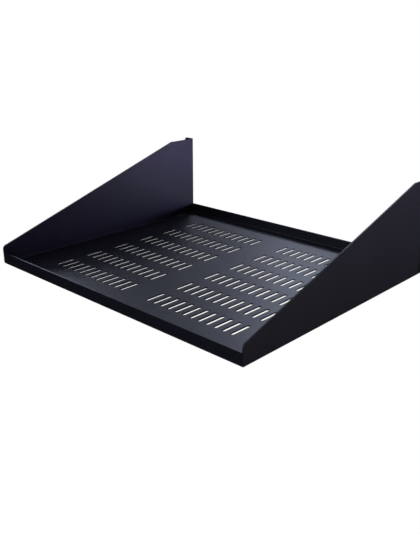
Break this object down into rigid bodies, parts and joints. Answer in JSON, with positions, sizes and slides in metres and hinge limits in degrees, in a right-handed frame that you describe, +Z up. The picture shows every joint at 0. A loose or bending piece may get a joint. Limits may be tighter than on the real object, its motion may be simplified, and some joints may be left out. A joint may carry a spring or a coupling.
{
  "type": "vented rack shelf",
  "caption": "Folded steel rack shelf: a slotted vent floor with upturned front and rear lips, between tall side panels that slope down to the front and end in slotted mounting ears.",
  "frame": {"origin": "under the middle of the shelf, on the underside, midway between the front lip's front face and the ears' rear faces", "axes": "+X to the right seen from the front, +Y to the back, towards the ears, and +Z up, out of the tray"},
  "size_m": [0.4826, 0.381, 0.133],
  "materials": {
    "black_paint": "satin black powder coat"
  },
  "bodies": {
    "root": {"vented_shelf": "black_paint"}
  },
  "joints": []
}
